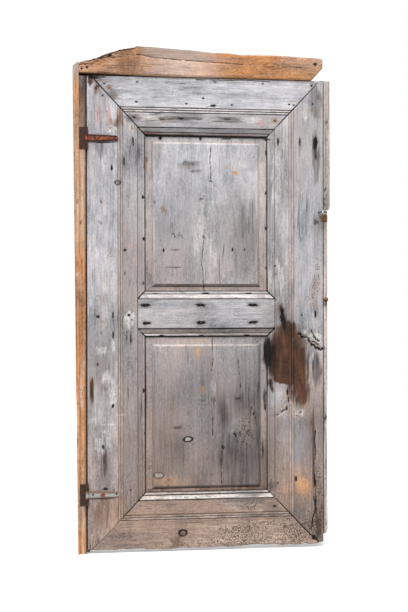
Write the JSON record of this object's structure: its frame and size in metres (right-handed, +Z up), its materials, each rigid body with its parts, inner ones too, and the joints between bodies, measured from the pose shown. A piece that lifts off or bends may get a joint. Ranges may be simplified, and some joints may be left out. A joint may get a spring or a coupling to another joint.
{
  "type": "panelled wooden door",
  "caption": "Weathered timber door leaf of mitred moulded frame and raised panels, hung on a post and head beam by tee hinges and closed with a padlock.",
  "frame": {"origin": "middle of the hinge post's foot, at floor level", "axes": "+Z up, +X from the hinge post across the leaf, +Y back into the doorway, so the front faces -Y"},
  "size_m": [1.003, 0.1048, 1.945],
  "materials": {
    "grey_wood": "bare weathered timber, silver-grey above and brown-grey below",
    "batten_wood": "rough sawn timber, less weathered",
    "strip_wood": "bare weathered lath",
    "brown_wood": "weathered timber with old brown stain",
    "rusty_steel": "rusted, dark red-brown",
    "zinc_steel": "dull zinc with rust spots",
    "dark_steel": "blackened wire",
    "bright_steel": "plated, worn",
    "brass": "tarnished, bright on the edges"
  },
  "bodies": {
    "frame": {"hinge_post": "brown_wood", "head_beam": "brown_wood", "top_hinge_plate": "rusty_steel", "top_hinge_pin": "rusty_steel", "bottom_hinge_plate": "zinc_steel", "bottom_hinge_pin": "zinc_steel"},
    "leaf": {"hinge_stile": "grey_wood", "lock_stile": "grey_wood", "top_rail": "grey_wood", "middle_rail": "grey_wood", "bottom_rail": "grey_wood", "upper_panel": "grey_wood", "lower_panel": "grey_wood", "top_batten": "batten_wood", "middle_batten": "batten_wood", "bottom_batten": "batten_wood", "upper_edge_strip": "strip_wood", "lower_edge_strip": "strip_wood", "top_hinge_strap": "rusty_steel", "bottom_hinge_strap": "zinc_steel", "lock_staple": "dark_steel", "edge_knob": "brass"},
    "shackle_link": {"shackle": "bright_steel"},
    "lock_case": {"padlock_body": "brass"},
    "lock_plug": {"padlock_plug": "bright_steel"}
  },
  "joints": [
    {"name": "leaf_swing", "type": "hinge", "parent": "frame", "child": "leaf", "pos_m": [0.018, -0.0408, 0.9], "axis": [0, 0, -1], "range_deg": [0, 120]},
    {"name": "padlock_swing", "type": "hinge", "parent": "leaf", "child": "shackle_link", "pos_m": [0.94, -0.054, 1.313], "axis": [-1, 0, 0], "range_deg": [-2, 100]},
    {"name": "padlock_release", "type": "slide", "parent": "shackle_link", "child": "lock_case", "axis": [0, 0, -1], "range_m": [0, 0.01]},
    {"name": "plug_turn", "type": "hinge", "parent": "lock_case", "child": "lock_plug", "pos_m": [0.94, -0.054, 1.283], "axis": [0, 0, 1], "range_deg": [0, 90]}
  ]
}
